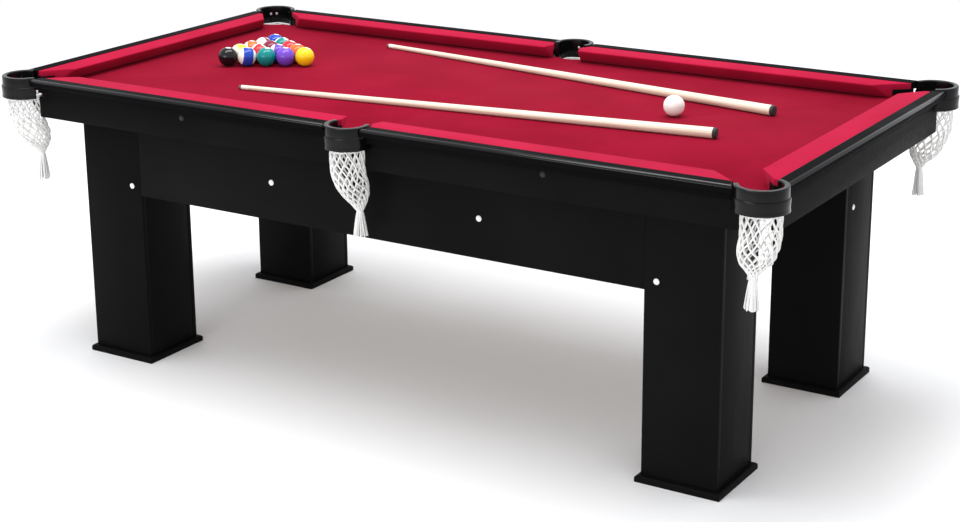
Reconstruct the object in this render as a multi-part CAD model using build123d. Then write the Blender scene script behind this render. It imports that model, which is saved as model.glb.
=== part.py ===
"""Six-pocket home pool table with box legs, net pockets, balls and cues.

Millimetres. The origin is on the floor under the middle of the table, +X runs along
the table, +Y to its back and +Z up. Each piece is written to parts/NODE.step.
"""

from build123d import *

import math
import os

os.makedirs("parts", exist_ok=True)

# Heights above the floor
FOOT_T = 16.0
BOX_BOTTOM = 678.0
SKIRT_BOTTOM = 476.0
BED_BOTTOM = 732.0
BED_TOP = 750.0
CLOTH_T = 1.2
PLAY_Z = BED_TOP + CLOTH_T
TRIM_BOTTOM = 770.0
RAIL_TOP = 790.0
COLLAR_BOTTOM = 735.0
COLLAR_LEDGE = 767.0
COLLAR_TOP = 792.0

# Plan, from the middle of the table outwards
HALF_LENGTH = 1120.0
HALF_WIDTH = 586.0
END_STEP = HALF_LENGTH - HALF_WIDTH
BOX_FACE_Y = 543.0
BOX_FACE_X = 1096.0
BOARD_T = 18.0
BED_HALF_X = BOX_FACE_X - BOARD_T
BED_HALF_Y = BOX_FACE_Y - BOARD_T
SIDE_BOARD_END_X = 1030.0
END_BOARD_END_Y = 505.0
SIDE_BOARD_GAP_X = 42.0

# Legs, skirts and the plates under the legs
LEG_FACE_X = 951.0
LEG_FACE_Y = 465.0
LEG_SIDE = 195.0
LEG_WALL = 15.0
FOOT_LEDGE = 12.0
FOOT_BEVEL = 4.0
LEG_X = LEG_FACE_X - LEG_SIDE / 2
LEG_Y = LEG_FACE_Y - LEG_SIDE / 2

# Rails and cushions, as distances from the table's middle line across a long side
TRIM_INNER = 552.0
BASE_INNER = 518.0
BASE_OUTER = 566.0
NOSE = 482.0
NOSE_Z = PLAY_Z + 34.5
TRIM_ROUND = 8.0

# Pockets
CORNER = (1072.0, 548.0)
MIDDLE = (0.0, 560.0)
CORNER_R = 48.0
MIDDLE_R = 43.0
COLLAR_WALL = 16.0
RIM_WALL = 13.0
COLLAR_ROUND = 3.0
FIT_GAP = 0.4
MOUTH_HALF_ANGLE = 65.0
CORNER_FLARE = 5.0
MIDDLE_FLARE = 14.0
NET_WALL = 2.0
NET_TOP = 737.0
NECK_R = 7.0
TASSEL_R = 16.0
TASSEL_BOTTOM = 496.0
RIVET_R = 4.0
RIVET_H = 1.6
RIVET_SPREAD = 11.0
RIVET_Z = 768.0

# Balls and cues
BALL_R = 27.0
BALL_PITCH = 2 * BALL_R + 0.4
REST_GAP = 0.3
RACK_APEX = (-593.0, 62.0)
RACK_ROWS = ((1,), (4, 5), (6, 12, 3), (10, 11, 7, 14), (8, 9, 13, 15, 2))
CUE_BALL = (570.0, 50.0)
CUE_LENGTH = 1340.0
CUE_TIP_R = 6.0
CUE_BUTT_R = 13.5
CUES = {"cue_back": ((-535.0, 390.0), -9.15), "cue_front": ((-570.0, -262.0), 6.8)}

QUARTERS = {"back_right": (1, 1), "back_left": (-1, 1), "front_right": (1, -1), "front_left": (-1, -1)}
SIDES = {"back": 1, "front": -1}
ENDS = {"right": 1, "left": -1}


def save(shape, node):
    """Write one node's STEP file."""
    export_step(shape, f"parts/{node}.step")


def placed(shape, x_sign, y_sign):
    """Mirror a piece made for the back right quarter into another quarter."""
    if x_sign < 0:
        shape = mirror(shape, about=Plane.YZ)
    if y_sign < 0:
        shape = mirror(shape, about=Plane.XZ)
    return shape


def slab(low, high):
    """A box between two opposite corners."""
    size = [b - a for a, b in zip(low, high)]
    middle = [(a + b) / 2 for a, b in zip(low, high)]
    return Pos(*middle) * Box(*size)


def group(solids):
    """Separate solids that share one node."""
    return Compound(children=list(solids))


def drum(centre, radius, bottom, top):
    """A vertical cylinder."""
    upright = Cylinder(radius, top - bottom, align=(Align.CENTER, Align.CENTER, Align.MIN))
    return Pos(centre[0], centre[1], bottom) * upright


def polar(centre, radius, angle):
    """The plan point at an angle in degrees round a centre."""
    turn = math.radians(angle)
    return (centre[0] + radius * math.cos(turn), centre[1] + radius * math.sin(turn))


def plan_prism(points, bottom, top):
    """A flat outline in plan, raised between two heights."""
    outline = make_face(Polyline(*[(x, y, bottom) for x, y in points], close=True))
    return extrude(outline, amount=top - bottom, dir=(0, 0, 1))


# ---- pockets ----------------------------------------------------------------------

CORNER_MOUTH = -135.0
MIDDLE_MOUTH = -90.0


def jaw_line(start, angle, stop_axis, stop_value):
    """The far end of a jaw that leaves the collar at an angle and stops past the nose."""
    turn = math.radians(angle)
    step = (math.cos(turn), math.sin(turn))
    reach = (stop_value - start[stop_axis]) / step[stop_axis]
    return (start[0] + reach * step[0], start[1] + reach * step[1])


def throat(centre, radius, mouth, flare, end_axis):
    """The space that the rails and cushions leave at a pocket."""
    past_nose = 10.0
    stops = {0: NOSE + END_STEP - past_nose, 1: NOSE - past_nose}
    side_start = polar(centre, radius, mouth - MOUTH_HALF_ANGLE)
    end_start = polar(centre, radius, mouth + MOUTH_HALF_ANGLE)
    side_stop = jaw_line(side_start, mouth - flare, 1, stops[1])
    end_stop = jaw_line(end_start, mouth + flare, end_axis, stops[end_axis])
    mouth_way = plan_prism([side_start, side_stop, end_stop, end_start, centre], PLAY_Z - 5, COLLAR_TOP + 5)
    return mouth_way + drum(centre, radius + COLLAR_WALL + FIT_GAP, COLLAR_BOTTOM - 1, COLLAR_TOP + 5)


CORNER_THROAT = throat(CORNER, CORNER_R, CORNER_MOUTH, CORNER_FLARE, 0)
MIDDLE_THROAT = throat(MIDDLE, MIDDLE_R, MIDDLE_MOUTH, MIDDLE_FLARE, 1)


def collar(centre, radius, mouth):
    """A moulded C-shaped collar: a rounded rim over a thicker band, open to the bed."""
    band = radius + COLLAR_WALL
    rim = radius + RIM_WALL
    outline = Polyline(
        (radius, 0, COLLAR_BOTTOM),
        (band, 0, COLLAR_BOTTOM),
        (band, 0, COLLAR_LEDGE),
        (rim, 0, COLLAR_LEDGE),
        (rim, 0, COLLAR_TOP),
        (radius, 0, COLLAR_TOP),
        close=True,
    )
    section = make_face(outline)
    crown = []
    for corner in section.vertices():
        on_ledge = corner.X > band - 1 and corner.Z > COLLAR_LEDGE - 1
        if on_ledge or corner.Z > COLLAR_TOP - 1:
            crown.append(corner)
    section = fillet(crown, COLLAR_ROUND)
    ring = revolve(section, axis=Axis.Z, revolution_arc=360 - 2 * MOUTH_HALF_ANGLE)
    return Pos(centre[0], centre[1], 0) * Rot(0, 0, mouth + MOUTH_HALF_ANGLE) * ring


def net_stations(radius, outward, neck_shift, neck_z):
    """Height, radius and inward shift of the bag from its mouth to its neck."""
    return [
        (NET_TOP, radius, -outward),
        (NET_TOP - 33, radius, -outward),
        (BOX_BOTTOM - 4, radius, -outward),
        (640.0, radius + 1, 0.35 * neck_shift),
        (610.0, radius - 6, 0.66 * neck_shift),
        (neck_z + 22, 0.45 * radius, 0.9 * neck_shift),
        (neck_z, NECK_R, neck_shift),
    ]


def lofted(centre, mouth, stations):
    """A closed bag through level circles that drift towards the table's middle."""
    rings = []
    for z, radius, shift in stations:
        x, y = polar(centre, shift, mouth)
        rings.append(Wire.make_circle(radius, Plane(origin=(x, y, z))))
    return Solid.make_loft(rings, ruled=False)


def net(centre, mouth, radius, outward, neck_shift, neck_z):
    """The net bag as a thin open shell, with the solid tassel that closes it."""
    outer = net_stations(radius, outward, neck_shift, neck_z)
    inner = [(z, r - NET_WALL, s) for z, r, s in outer[:-1]]
    inner[0] = (NET_TOP + 3, radius - NET_WALL, -outward)
    inner[-1] = (inner[-1][0] + NET_WALL, inner[-1][1], inner[-1][2])
    bag = lofted(centre, mouth, outer) - lofted(centre, mouth, inner)
    x, y = polar(centre, neck_shift, mouth)
    tassel = Cone(TASSEL_R, NECK_R, neck_z - TASSEL_BOTTOM, align=(Align.CENTER, Align.CENTER, Align.MIN))
    return bag + Pos(x, y, TASSEL_BOTTOM) * tassel


def rivets(centre, radius, mouth):
    """Two rivet heads on the inside wall of a collar."""
    heads = []
    for side in (-1, 1):
        angle = mouth + 180 + side * RIVET_SPREAD
        x, y = polar(centre, radius - RIVET_H / 2 - 0.2, angle)
        head = Cylinder(RIVET_R, RIVET_H)
        heads.append(Pos(x, y, RIVET_Z) * Rot(0, 0, angle) * Rot(0, 90, 0) * head)
    return heads


corner_collar = collar(CORNER, CORNER_R, CORNER_MOUTH)
middle_collar = collar(MIDDLE, MIDDLE_R, MIDDLE_MOUTH)
corner_net = net(CORNER, CORNER_MOUTH, radius=42.0, outward=5.6, neck_shift=30.0, neck_z=572.0)
middle_net = net(MIDDLE, MIDDLE_MOUTH, radius=40.0, outward=2.0, neck_shift=46.0, neck_z=562.0)
all_rivets = []
for name, (sx, sy) in QUARTERS.items():
    save(placed(corner_collar, sx, sy), f"collar_{name}")
    save(placed(corner_net, sx, sy), f"net_{name}")
    all_rivets += [placed(head, sx, sy) for head in rivets(CORNER, CORNER_R, CORNER_MOUTH)]
for name, sy in SIDES.items():
    save(placed(middle_collar, 1, sy), f"collar_{name}_middle")
    save(placed(middle_net, 1, sy), f"net_{name}_middle")
    all_rivets += [placed(head, 1, sy) for head in rivets(MIDDLE, MIDDLE_R, MIDDLE_MOUTH)]


# ---- rails and cushions -----------------------------------------------------------

RAIL_SECTION = [
    (BASE_INNER, PLAY_Z),
    (BASE_OUTER, PLAY_Z),
    (BASE_OUTER, TRIM_BOTTOM),
    (HALF_WIDTH, TRIM_BOTTOM),
    (HALF_WIDTH, RAIL_TOP),
    (TRIM_INNER, RAIL_TOP),
    (TRIM_INNER, TRIM_BOTTOM + 2),
    (BASE_INNER, TRIM_BOTTOM + 2),
]
CUSHION_SECTION = [
    (TRIM_INNER - 0.2, TRIM_BOTTOM + 2.3),
    (TRIM_INNER - 0.2, RAIL_TOP - 2),
    (NOSE + 4, NOSE_Z + 2.5),
    (NOSE, NOSE_Z),
    (NOSE + 2, NOSE_Z - 4),
    (BASE_INNER - 6, PLAY_Z + 0.3),
    (BASE_INNER - 0.3, PLAY_Z + 0.3),
    (BASE_INNER - 0.3, TRIM_BOTTOM + 2.3),
]


def side_bar(section, start, stop):
    """A section across the back long side, drawn out along X."""
    face = make_face(Polyline(*[(start, w, z) for w, z in section], close=True))
    return extrude(face, amount=stop - start, dir=(1, 0, 0))


def end_bar(section, half):
    """A section across the right end, drawn out along Y."""
    face = make_face(Polyline(*[(w + END_STEP, -half, z) for w, z in section], close=True))
    return extrude(face, amount=2 * half, dir=(0, 1, 0))


def round_trim(bar, axis):
    """Round the trim's outer edges: large on top, small beneath."""
    outer = HALF_LENGTH if axis == "X" else HALF_WIDTH
    for above, radius in ((True, TRIM_ROUND), (False, TRIM_ROUND / 2)):
        level = RAIL_TOP if above else TRIM_BOTTOM
        picked = []
        for edge in bar.edges():
            place = edge.center()
            if abs(getattr(place, axis) - outer) < 0.1 and abs(place.Z - level) < 0.1:
                picked.append(edge)
        bar = fillet(picked, radius)
    return bar


SIDE_STOP = CORNER[0] - 12.0
side_rail = round_trim(side_bar(RAIL_SECTION, 0, SIDE_STOP), "Y") - CORNER_THROAT - MIDDLE_THROAT
side_cushion = side_bar(CUSHION_SECTION, 0, SIDE_STOP) - CORNER_THROAT - MIDDLE_THROAT
end_rail = round_trim(end_bar(RAIL_SECTION, CORNER[1]), "X")
end_cushion = end_bar(CUSHION_SECTION, CORNER[1])
for sy in (1, -1):
    end_rail = end_rail - placed(CORNER_THROAT, 1, sy)
    end_cushion = end_cushion - placed(CORNER_THROAT, 1, sy)
for name, (sx, sy) in QUARTERS.items():
    save(placed(side_rail, sx, sy), f"rail_{name}")
    save(placed(side_cushion, sx, sy), f"cushion_{name}")
for name, sx in ENDS.items():
    save(placed(end_rail, sx, 1), f"rail_{name}")
    save(placed(end_cushion, sx, 1), f"cushion_{name}")


# ---- bed and its cloth ------------------------------------------------------------

def bed_plate(bottom, top):
    """The bed's outline with its six pocket cut-outs."""
    plate = slab((-BED_HALF_X, -BED_HALF_Y, bottom), (BED_HALF_X, BED_HALF_Y, top))
    for sx, sy in QUARTERS.values():
        plate -= placed(drum(CORNER, CORNER_R + 2, bottom - 1, top + 1), sx, sy)
    for sy in SIDES.values():
        plate -= placed(drum(MIDDLE, MIDDLE_R + 3, bottom - 1, top + 1), 1, sy)
    return plate


save(bed_plate(BED_BOTTOM, BED_TOP), "bed")
save(bed_plate(BED_TOP, PLAY_Z), "bed_cloth")


# ---- box round the bed, and the battens under it ----------------------------------

side_board = slab((SIDE_BOARD_GAP_X, BED_HALF_Y, BOX_BOTTOM), (SIDE_BOARD_END_X, BOX_FACE_Y, PLAY_Z))
side_board = side_board - CORNER_THROAT - MIDDLE_THROAT
end_board = slab((BED_HALF_X, -END_BOARD_END_Y, BOX_BOTTOM), (BOX_FACE_X, END_BOARD_END_Y, PLAY_Z))
for sy in (1, -1):
    end_board = end_board - placed(CORNER_THROAT, 1, sy)
for name, (sx, sy) in QUARTERS.items():
    save(placed(side_board, sx, sy), f"box_board_{name}")
for name, sx in ENDS.items():
    save(placed(end_board, sx, 1), f"box_board_{name}")

BATTEN_DEPTH = 32.0
BATTEN_W = 30.0
BATTEN_POCKET_GAP = 62.0
SIDE_BATTEN_END_X = 1008.0
END_BATTEN_END_Y = 470.0
BEAM_DEPTH = 50.0
BEAM_T = 20.0
BEAM_X = (-400.0, 0.0, 400.0)
SKIRT_T = 15.0
battens = []
for sx, sy in QUARTERS.values():
    low = (BATTEN_POCKET_GAP, BED_HALF_Y - BATTEN_W, BED_BOTTOM - BATTEN_DEPTH)
    battens.append(placed(slab(low, (SIDE_BATTEN_END_X, BED_HALF_Y, BED_BOTTOM)), sx, sy))
for sx in ENDS.values():
    low = (BED_HALF_X - BATTEN_W, -END_BATTEN_END_Y, BED_BOTTOM - BATTEN_DEPTH)
    battens.append(placed(slab(low, (BED_HALF_X, END_BATTEN_END_Y, BED_BOTTOM)), sx, 1))
    leg_inner = LEG_FACE_Y - LEG_SIDE
    low = (LEG_X - BEAM_T / 2, -leg_inner, BED_BOTTOM - BEAM_DEPTH)
    battens.append(placed(slab(low, (LEG_X + BEAM_T / 2, leg_inner, BED_BOTTOM)), sx, 1))
for x in BEAM_X:
    reach = LEG_FACE_Y - SKIRT_T
    low = (x - BEAM_T / 2, -reach, BED_BOTTOM - BEAM_DEPTH)
    battens.append(slab(low, (x + BEAM_T / 2, reach, BED_BOTTOM)))
save(group(battens), "bed_battens")


# ---- legs, foot plates and skirts -------------------------------------------------

leg = slab((LEG_X - LEG_SIDE / 2, LEG_Y - LEG_SIDE / 2, FOOT_T), (LEG_FACE_X, LEG_FACE_Y, BED_BOTTOM))
hollow = LEG_SIDE / 2 - LEG_WALL
leg -= slab((LEG_X - hollow, LEG_Y - hollow, FOOT_T - 1), (LEG_X + hollow, LEG_Y + hollow, BED_BOTTOM + 1))
foot_half = LEG_SIDE / 2 + FOOT_LEDGE
foot = slab((LEG_X - foot_half, LEG_Y - foot_half, 0), (LEG_X + foot_half, LEG_Y + foot_half, FOOT_T))
foot = chamfer(foot.faces().sort_by(Axis.Z)[-1].edges(), FOOT_BEVEL)
for name, (sx, sy) in QUARTERS.items():
    save(placed(leg, sx, sy), f"leg_{name}")
save(group(placed(foot, sx, sy) for sx, sy in QUARTERS.values()), "foot_plates")

skirt_end = LEG_FACE_X - LEG_SIDE
skirt = slab((-skirt_end, LEG_FACE_Y - SKIRT_T, SKIRT_BOTTOM), (skirt_end, LEG_FACE_Y, BED_BOTTOM))
for name, sy in SIDES.items():
    save(placed(skirt, 1, sy), f"skirt_{name}")


# ---- bolt caps and rivets ---------------------------------------------------------

CAP_R = 7.5
CAP_H = 3.0
LEG_CAP_INSET = 31.0
LEG_CAP_Z = 500.0
LEG_END_CAP_Y = 326.0
SKIRT_CAP = (312.0, 577.0)
BOX_CAP = (533.0, 736.0)


def cap(place, outward):
    """A domed cap over a bolt head, on a face whose outward normal is given."""
    dome = Cylinder(CAP_R, CAP_H, align=(Align.CENTER, Align.CENTER, Align.MIN))
    dome = fillet(dome.faces().sort_by(Axis.Z)[-1].edges(), CAP_H - 0.6)
    return Plane(origin=place, z_dir=outward) * dome


caps = []
for sx, sy in QUARTERS.values():
    leg_cap_x = skirt_end + LEG_CAP_INSET
    caps.append(placed(cap((leg_cap_x, LEG_FACE_Y, LEG_CAP_Z), (0, 1, 0)), sx, sy))
    caps.append(placed(cap((LEG_FACE_X, LEG_END_CAP_Y, LEG_CAP_Z), (1, 0, 0)), sx, sy))
    caps.append(placed(cap((SKIRT_CAP[0], LEG_FACE_Y, SKIRT_CAP[1]), (0, 1, 0)), sx, sy))
    caps.append(placed(cap((BOX_CAP[0], BOX_FACE_Y, BOX_CAP[1]), (0, 1, 0)), sx, sy))
save(group(caps), "bolt_caps")
save(group(all_rivets), "collar_rivets")


# ---- balls ------------------------------------------------------------------------

BALL_Z = PLAY_Z + REST_GAP + BALL_R


def ball(x, y):
    """One ball resting just clear of the cloth."""
    return Pos(x, y, BALL_Z) * Sphere(BALL_R)


for row, numbers in enumerate(RACK_ROWS):
    row_x = RACK_APEX[0] - row * BALL_PITCH * math.cos(math.radians(30))
    for place, number in enumerate(numbers):
        row_y = RACK_APEX[1] + (place - row / 2) * BALL_PITCH
        save(ball(row_x, row_y), f"ball_{number:02d}")
save(ball(*CUE_BALL), "cue_ball")


# ---- cues -------------------------------------------------------------------------

TIP_L = 9.0
FERRULE_L = 22.0
BUMPER_L = 14.0


def cue(tip, heading):
    """A tapered one-piece cue lying on the cloth: leather tip, ferrule, wood and rubber butt."""
    lift = math.degrees(math.asin((CUE_BUTT_R - CUE_TIP_R) / CUE_LENGTH))
    turn, rise = math.radians(heading), math.radians(lift)
    along = (math.cos(rise) * math.cos(turn), math.cos(rise) * math.sin(turn), math.sin(rise))
    start = Plane(origin=(tip[0], tip[1], PLAY_Z + REST_GAP + CUE_TIP_R), z_dir=along)

    def radius_at(distance):
        return CUE_TIP_R + (CUE_BUTT_R - CUE_TIP_R) * distance / CUE_LENGTH

    stops = (0, TIP_L, TIP_L + FERRULE_L, CUE_LENGTH - BUMPER_L, CUE_LENGTH)
    lengths = []
    for a, b in zip(stops, stops[1:]):
        taper = Cone(radius_at(a), radius_at(b), b - a, align=(Align.CENTER, Align.CENTER, Align.MIN))
        lengths.append(start * Pos(0, 0, a) * taper)
    return group(lengths)


for name, (tip, heading) in CUES.items():
    save(cue(tip, heading), name)
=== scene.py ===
"""The looks of a six-pocket pool table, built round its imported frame, in metres."""

import math
import random

import bmesh
import bpy
from mathutils import Euler, Matrix, Vector


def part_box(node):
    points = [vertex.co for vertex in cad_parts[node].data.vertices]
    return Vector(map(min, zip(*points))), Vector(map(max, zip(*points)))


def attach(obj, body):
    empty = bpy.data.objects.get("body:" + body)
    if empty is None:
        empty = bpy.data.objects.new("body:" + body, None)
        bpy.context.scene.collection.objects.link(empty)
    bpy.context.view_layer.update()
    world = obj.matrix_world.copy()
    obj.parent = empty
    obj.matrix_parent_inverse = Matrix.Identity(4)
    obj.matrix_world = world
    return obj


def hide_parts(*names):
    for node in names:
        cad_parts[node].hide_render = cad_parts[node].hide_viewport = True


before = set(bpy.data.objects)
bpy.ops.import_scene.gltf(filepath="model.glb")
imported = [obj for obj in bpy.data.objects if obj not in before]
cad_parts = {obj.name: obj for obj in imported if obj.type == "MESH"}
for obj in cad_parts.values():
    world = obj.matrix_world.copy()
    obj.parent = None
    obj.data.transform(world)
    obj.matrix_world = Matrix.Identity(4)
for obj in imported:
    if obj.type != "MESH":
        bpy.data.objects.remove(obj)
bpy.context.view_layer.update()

bpy.ops.object.select_all(action="DESELECT")
scene = bpy.context.scene


# ---- camera, light and floor ---------------------------------------------------------
# The table is shown alone on a pale studio floor, from its front right corner and a
# little above. A long soft light hangs over the bed and a weak one fills the front.

CAMERA_PLACE = (2.634, -4.179, 1.899)
CAMERA_ROUND = math.radians(32.09)
CAMERA_DOWN = math.radians(16.27)
CAMERA_ROLL = math.radians(-0.44)
CAMERA_LENS = 71.85
CAMERA_SHIFT = (0.004, -0.0625)

bpy.ops.object.camera_add(location=CAMERA_PLACE)
camera = bpy.context.object
level = Euler((math.pi / 2 - CAMERA_DOWN, 0, CAMERA_ROUND)).to_matrix()
camera.rotation_euler = (level @ Matrix.Rotation(CAMERA_ROLL, 3, "Z")).to_euler()
camera.data.lens = CAMERA_LENS
camera.data.shift_x, camera.data.shift_y = CAMERA_SHIFT
scene.camera = camera
scene.view_settings.view_transform = "Standard"


def soft_light(place, aim, size, power):
    """A rectangular soft light that looks at a point."""
    bpy.ops.object.light_add(type="AREA", location=place)
    lamp = bpy.context.object
    lamp.rotation_euler = (Vector(aim) - Vector(place)).to_track_quat("-Z", "Y").to_euler()
    lamp.data.shape = "RECTANGLE"
    lamp.data.size, lamp.data.size_y = size
    lamp.data.energy = power


OVERHEAD_POWER = 190
FRONT_POWER = 60
SURROUND_STRENGTH = 1.0

soft_light((-0.2, 0.1, 4.4), (0, 0, 0), (5.0, 1.6), OVERHEAD_POWER)
soft_light((-0.6, -5.4, 1.9), (0, 0.2, 0.6), (3.4, 1.4), FRONT_POWER)
scene.world = bpy.data.worlds.new("pale_surround")
scene.world.use_nodes = True
surround = scene.world.node_tree.nodes["Background"]
surround.inputs["Color"].default_value = (0.96, 0.97, 1.0, 1)
surround.inputs["Strength"].default_value = SURROUND_STRENGTH


def finish(name, colour, roughness, **plain):
    """A new material with one shader, and its uniform values set on the shader itself."""
    made = bpy.data.materials.new(name)
    made.use_nodes = True
    shader = made.node_tree.nodes["Principled BSDF"]
    shader.inputs["Base Color"].default_value = (*colour, 1)
    shader.inputs["Roughness"].default_value = roughness
    for socket, value in plain.items():
        shader.inputs[socket.replace("_", " ")].default_value = value
    return made


def node(made, kind, **values):
    """Add one node to a material and set its properties or sockets."""
    new = made.node_tree.nodes.new(kind)
    for key, value in values.items():
        if key in new.inputs:
            new.inputs[key].default_value = value
        else:
            setattr(new, key, value)
    return new


def wire(made, source, target):
    """Join an output to an input."""
    made.node_tree.links.new(source, target)


def grain(made, scale, stretch=(1, 1, 1), detail=4, turn=(0, 0, 0), at=(0, 0, 0)):
    """Noise on the piece's own coordinates, drawn out along an axis by a small stretch value."""
    place = node(made, "ShaderNodeTexCoord")
    fit = node(made, "ShaderNodeMapping", vector_type="TEXTURE")
    fit.inputs["Location"].default_value = at
    fit.inputs["Rotation"].default_value = turn
    fit.inputs["Scale"].default_value = stretch
    noise = node(made, "ShaderNodeTexNoise", Scale=scale, Detail=detail)
    wire(made, place.outputs["Object"], fit.inputs["Vector"])
    wire(made, fit.outputs["Vector"], noise.inputs["Vector"])
    return noise.outputs["Fac"]


def spread(made, value, target, low, high, start=0.3, stop=0.7):
    """Send a noise value to a socket as a range of numbers or of colours."""
    if isinstance(low, tuple):
        ramp = node(made, "ShaderNodeValToRGB")
        for element, place, colour in zip(ramp.color_ramp.elements, (start, stop), (low, high)):
            element.position, element.color = place, (*colour, 1)
        wire(made, value, ramp.inputs["Fac"])
        wire(made, ramp.outputs["Color"], target)
        return
    span = node(made, "ShaderNodeMapRange")
    for key, number in (("From Min", start), ("From Max", stop), ("To Min", low), ("To Max", high)):
        span.inputs[key].default_value = number
    wire(made, value, span.inputs["Value"])
    wire(made, span.outputs["Result"], target)


def relief(made, value, strength, distance):
    """Use a noise value as fine relief on the surface."""
    bump = node(made, "ShaderNodeBump", Strength=strength, Distance=distance)
    wire(made, value, bump.inputs["Height"])
    wire(made, bump.outputs["Normal"], made.node_tree.nodes["Principled BSDF"].inputs["Normal"])


def shader_of(made):
    """The sockets of a material's shader."""
    return made.node_tree.nodes["Principled BSDF"].inputs


FLOOR_SIZE = 40.0
bpy.ops.mesh.primitive_plane_add(size=FLOOR_SIZE)
floor = bpy.context.object
floor.name = "floor"
pale_floor = finish("pale_floor", (0.93, 0.93, 0.93), 0.8, Specular_IOR_Level=0.1)
spread(pale_floor, grain(pale_floor, 6.0), shader_of(pale_floor)["Roughness"], 0.62, 0.75)
floor.data.materials.append(pale_floor)


# ---- legs ----------------------------------------------------------------------------
# Each leg is a square box of four laminated boards, glued edge to face: two full-width
# boards on the long faces and two narrower ones between them. Their edges are eased.

LEG_WALL = 0.015
EASE = 0.0009
LAMINATE_SHADES = ((0.0038, 0.0038, 0.0042), (0.0056, 0.0055, 0.0056))
QUARTERS = ("front_left", "front_right", "back_left", "back_right")

black_laminate = finish("black_laminate", (0.0045, 0.0045, 0.0048), 0.5, Specular_IOR_Level=0.03)
streaks = grain(black_laminate, 9.0, stretch=(0.12, 0.12, 1.6), detail=6)
spread(black_laminate, streaks, shader_of(black_laminate)["Roughness"], 0.46, 0.54)
mottle = grain(black_laminate, 3.5, detail=3)
spread(black_laminate, mottle, shader_of(black_laminate)["Base Color"], *LAMINATE_SHADES)
relief(black_laminate, grain(black_laminate, 620.0, detail=2), 0.12, 0.0002)


def board(low, high):
    """A board between two corners, its edges eased by a small bevel."""
    low, high = Vector(low), Vector(high)
    bpy.ops.mesh.primitive_cube_add(size=1, location=(low + high) / 2)
    made = bpy.context.object
    made.scale = high - low
    bpy.ops.object.transform_apply(location=True, rotation=True, scale=True)
    soften(made, EASE, 2)
    return made


def soften(piece, width, rings, angle=30.0):
    """Round a piece's sharp edges and smooth the rest."""
    only(piece)
    round_off = piece.modifiers.new("round_off", "BEVEL")
    round_off.width, round_off.segments = width, rings
    round_off.limit_method, round_off.angle_limit = "ANGLE", math.radians(angle)
    round_off.use_clamp_overlap = False
    bpy.ops.object.modifier_apply(modifier="round_off")
    bpy.ops.object.shade_smooth_by_angle(angle=math.radians(angle))


def only(piece):
    """Make one piece the only selected and active one."""
    bpy.ops.object.select_all(action="DESELECT")
    piece.select_set(True)
    bpy.context.view_layer.objects.active = piece


def joined(pieces, name):
    """Join pieces into one, with a name."""
    bpy.ops.object.select_all(action="DESELECT")
    for piece in pieces:
        piece.select_set(True)
    bpy.context.view_layer.objects.active = pieces[0]
    bpy.ops.object.join()
    whole = bpy.context.object
    whole.name = whole.data.name = name
    return whole


for quarter in QUARTERS:
    low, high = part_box(f"leg_{quarter}")
    boards = []
    for y in (low.y, high.y - LEG_WALL):
        boards.append(board((low.x, y, low.z), (high.x, y + LEG_WALL, high.z)))
    for x in (low.x, high.x - LEG_WALL):
        boards.append(board((x, low.y + LEG_WALL, low.z), (x + LEG_WALL, high.y - LEG_WALL, high.z)))
    leg = joined(boards, f"leg_boards_{quarter}")
    leg.data.materials.append(black_laminate)
    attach(leg, "table")
    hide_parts(f"leg_{quarter}")


# ---- foot plates ---------------------------------------------------------------------
# A square plate of the same laminated board under each leg spreads its weight. Its top
# edge is cut to a bevel that stands proud of the leg all round.

FOOT_BEVEL = 0.004
FOOT_LEDGE = 0.012
FOOT_EASE = 0.0006
NEAR = 0.0005


def pick(kind, test):
    """In edit mode, select only the vertices, edges or faces that pass a test."""
    bpy.ops.mesh.select_mode(type=kind)
    bpy.ops.mesh.select_all(action="DESELECT")
    form = bmesh.from_edit_mesh(bpy.context.edit_object.data)
    for part in {"VERT": form.verts, "EDGE": form.edges, "FACE": form.faces}[kind]:
        corners = [part] if kind == "VERT" else part.verts
        middle = sum((corner.co for corner in corners), Vector()) / len(corners)
        if test(middle, part):
            part.select_set(True)
    bmesh.update_edit_mesh(bpy.context.edit_object.data)


plate_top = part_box("foot_plates")[1].z
plates = []
for quarter in QUARTERS:
    low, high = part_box(f"leg_{quarter}")
    centre = (low + high) / 2
    bpy.ops.mesh.primitive_cube_add(size=1, location=(centre.x, centre.y, plate_top / 2))
    plate = bpy.context.object
    plate.scale = (high.x - low.x + 2 * FOOT_LEDGE, high.y - low.y + 2 * FOOT_LEDGE, plate_top)
    bpy.ops.object.transform_apply(location=True, rotation=True, scale=True)
    bpy.ops.object.mode_set(mode="EDIT")
    pick("EDGE", lambda middle, edge: middle.z > plate_top - NEAR)
    bpy.ops.mesh.bevel(offset=FOOT_BEVEL, segments=1, affect="EDGES")
    bpy.ops.object.mode_set(mode="OBJECT")
    soften(plate, FOOT_EASE, 2, angle=20)
    plates.append(plate)
feet = joined(plates, "foot_plates_bevelled")
feet.data.materials.append(black_laminate)
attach(feet, "table")
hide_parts("foot_plates")


# ---- skirts between the legs -----------------------------------------------------------
# A deep laminated board on each long side runs from leg to leg, flush with their faces.
# Its grain runs lengthwise.

lengthwise_laminate = black_laminate.copy()
lengthwise_laminate.name = "black_laminate_lengthwise"
for part in lengthwise_laminate.node_tree.nodes:
    if part.type == "MAPPING" and part.inputs["Scale"].default_value[2] > 1.2:
        part.inputs["Scale"].default_value = (1.6, 0.12, 0.12)

for side in ("front", "back"):
    skirt = board(*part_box(f"skirt_{side}"))
    skirt.name = f"skirt_board_{side}"
    skirt.data.materials.append(lengthwise_laminate)
    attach(skirt, "table")
    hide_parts(f"skirt_{side}")


# ---- box round the bed -----------------------------------------------------------------
# Six laminated boards stand round the bed. They stop short of the pockets, with round
# notches for the collars, so that the net bags hang free between them.

BOX_EASE = 0.0007
SIDES = QUARTERS + ("left", "right")
DOUBLED_WITHIN = 1e-5
FLAT_WITHIN = math.radians(0.3)


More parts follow.
